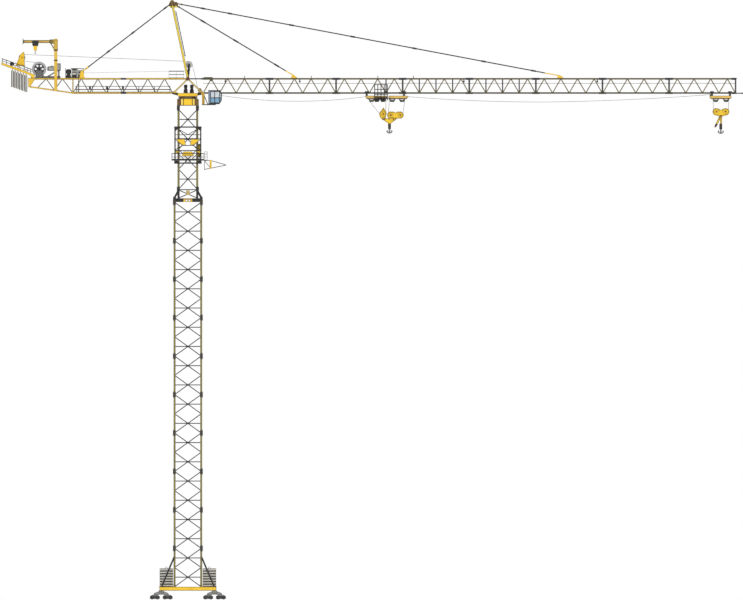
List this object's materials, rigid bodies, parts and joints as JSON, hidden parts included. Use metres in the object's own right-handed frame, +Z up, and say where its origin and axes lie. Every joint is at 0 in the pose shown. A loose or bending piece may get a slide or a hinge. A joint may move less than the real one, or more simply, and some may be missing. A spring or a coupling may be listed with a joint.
{
  "type": "1:10 scale model tower crane",
  "caption": "Hammerhead tower crane on a rail undercarriage, with a raked tower head, pendants, two trolleys and a climbing frame.",
  "frame": {"origin": "on the slewing axis at rail level, under the wheels", "axes": "+X along the jib, +Z up along the slewing axis, +Y to the left of the jib"},
  "size_m": [11.1421, 0.8636, 9.0012],
  "materials": {
    "ballast_concrete": "matte",
    "base_steel": "satin",
    "bogie_steel": "satin",
    "tower_steel": "satin",
    "machine_yellow": "satin",
    "ring_brown": "satin",
    "pendant_black": "satin",
    "jib_olive": "satin",
    "grating_steel": "matte",
    "winch_grey": "satin",
    "cabinet_black": "satin",
    "cab_frame": "satin",
    "cab_glazing": "gloss",
    "rope_steel": "satin",
    "hook_steel": "satin"
  },
  "bodies": {
    "base_and_tower": {"undercarriage_frame": "base_steel", "base_ballast_slabs": "ballast_concrete", "base_struts": "base_steel", "tower_sections_1_to_5": "tower_steel", "tower_sections_6_to_10": "tower_steel", "transition_piece": "machine_yellow", "upper_tower": "tower_steel", "slewing_ring_support": "machine_yellow", "slewing_ring": "ring_brown", "climbing_cylinder_rod": "rope_steel"},
    "bogie_rear_right": {"bogie_rear_right": "bogie_steel"},
    "bogie_rear_left": {"bogie_rear_left": "bogie_steel"},
    "bogie_front_right": {"bogie_front_right": "bogie_steel"},
    "bogie_front_left": {"bogie_front_left": "bogie_steel"},
    "climbing_frame": {"climbing_frame": "pendant_black", "climbing_walkway": "grating_steel", "climbing_cylinder_barrel": "machine_yellow", "feed_arm": "pendant_black"},
    "superstructure": {"slewing_platform": "machine_yellow", "slewing_drives": "cabinet_black", "tower_head": "machine_yellow", "head_platform": "grating_steel", "jib_sections_1_to_4": "jib_olive", "jib_sections_5_to_8": "jib_olive", "jib_tie": "pendant_black", "jib_tip_buffer": "pendant_black", "rear_pendants": "pendant_black", "front_pendants": "pendant_black", "counter_jib": "machine_yellow", "counter_walkway": "grating_steel", "ballast_beams": "machine_yellow", "counter_ballast_plates": "ballast_concrete", "winch_frame": "winch_grey", "winch_motor": "winch_grey", "trolley_winch": "cabinet_black", "derrick_post": "winch_grey", "cab_body": "cab_frame", "cab_glass": "cab_glazing", "cab_platform": "machine_yellow", "hoist_rope": "rope_steel", "rope_sag_root": "rope_steel", "rope_sag_middle": "rope_steel", "rope_sag_tip": "rope_steel"},
    "head_pulley": {"head_pulley": "winch_grey"},
    "fin_pulley": {"fin_pulley": "machine_yellow"},
    "hoist_drum": {"hoist_drum": "winch_grey"},
    "derrick_beam": {"derrick_beam": "winch_grey"},
    "derrick_trolley": {"derrick_trolley": "machine_yellow"},
    "inner_trolley": {"inner_trolley": "machine_yellow", "maintenance_cage": "cabinet_black", "inner_falls": "rope_steel"},
    "inner_hook_block": {"inner_hook_block": "machine_yellow"},
    "inner_hook": {"inner_hook": "hook_steel"},
    "outer_trolley": {"outer_trolley": "machine_yellow", "outer_falls": "rope_steel"},
    "outer_hook_block": {"outer_hook_block": "machine_yellow"},
    "outer_hook": {"outer_hook": "hook_steel"}
  },
  "joints": [
    {"name": "slewing", "type": "hinge", "parent": "base_and_tower", "child": "superstructure", "pos_m": [0, 0, 7.55], "axis": [0, 0, 1], "continuous": true},
    {"name": "inner_trolley_travel", "type": "slide", "parent": "superstructure", "child": "inner_trolley", "axis": [1, 0, 0], "range_m": [-2.147, 1.7], "deforming": ["rope_sag_root", "rope_sag_middle"]},
    {"name": "outer_trolley_travel", "type": "slide", "parent": "superstructure", "child": "outer_trolley", "axis": [1, 0, 0], "range_m": [-2.8, 0.04], "deforming": ["rope_sag_tip"]},
    {"name": "inner_hoist", "type": "slide", "parent": "inner_trolley", "child": "inner_hook_block", "axis": [0, 0, 1], "range_m": [-6.6, 0.06], "deforming": ["inner_falls"]},
    {"name": "outer_hoist", "type": "slide", "parent": "outer_trolley", "child": "outer_hook_block", "axis": [0, 0, 1], "range_m": [-6.6, 0.06], "deforming": ["outer_falls"]},
    {"name": "inner_hook_swivel", "type": "hinge", "parent": "inner_hook_block", "child": "inner_hook", "pos_m": [3.027, 0, 7.1], "axis": [0, 0, 1], "continuous": true},
    {"name": "outer_hook_swivel", "type": "hinge", "parent": "outer_hook_block", "child": "outer_hook", "pos_m": [8.001, 0, 7.1], "axis": [0, 0, 1], "continuous": true},
    {"name": "hoist_drum_turn", "type": "hinge", "parent": "superstructure", "child": "hoist_drum", "pos_m": [-2.233, 0, 7.9662], "axis": [0, 1, 0], "continuous": true},
    {"name": "derrick_swing", "type": "hinge", "parent": "superstructure", "child": "derrick_beam", "pos_m": [-1.984, -0.152, 8.377], "axis": [0, 0, 1], "range_deg": [-120, 120]},
    {"name": "derrick_trolley_travel", "type": "slide", "parent": "derrick_beam", "child": "derrick_trolley", "axis": [-1, 0, 0], "range_m": [-0.155, 0.13]},
    {"name": "climbing_frame_lift", "type": "slide", "parent": "base_and_tower", "child": "climbing_frame", "axis": [0, 0, 1], "range_m": [0, 0.12]},
    {"name": "head_pulley_turn", "type": "hinge", "parent": "superstructure", "child": "head_pulley", "pos_m": [0.018, 0, 8.0312], "axis": [0, 1, 0], "continuous": true},
    {"name": "fin_pulley_turn", "type": "hinge", "parent": "superstructure", "child": "fin_pulley", "pos_m": [-2.491, 0, 8.1372], "axis": [0, 1, 0], "continuous": true},
    {"name": "bogie_rear_right_rock", "type": "hinge", "parent": "base_and_tower", "child": "bogie_rear_right", "pos_m": [-0.4, -0.4, 0.1066], "axis": [0, 1, 0], "range_deg": [-2, 2]},
    {"name": "bogie_rear_left_rock", "type": "hinge", "parent": "base_and_tower", "child": "bogie_rear_left", "pos_m": [-0.4, 0.4, 0.1066], "axis": [0, 1, 0], "range_deg": [-2, 2]},
    {"name": "bogie_front_right_rock", "type": "hinge", "parent": "base_and_tower", "child": "bogie_front_right", "pos_m": [0.4, -0.4, 0.1066], "axis": [0, 1, 0], "range_deg": [-2, 2]},
    {"name": "bogie_front_left_rock", "type": "hinge", "parent": "base_and_tower", "child": "bogie_front_left", "pos_m": [0.4, 0.4, 0.1066], "axis": [0, 1, 0], "range_deg": [-2, 2]}
  ]
}
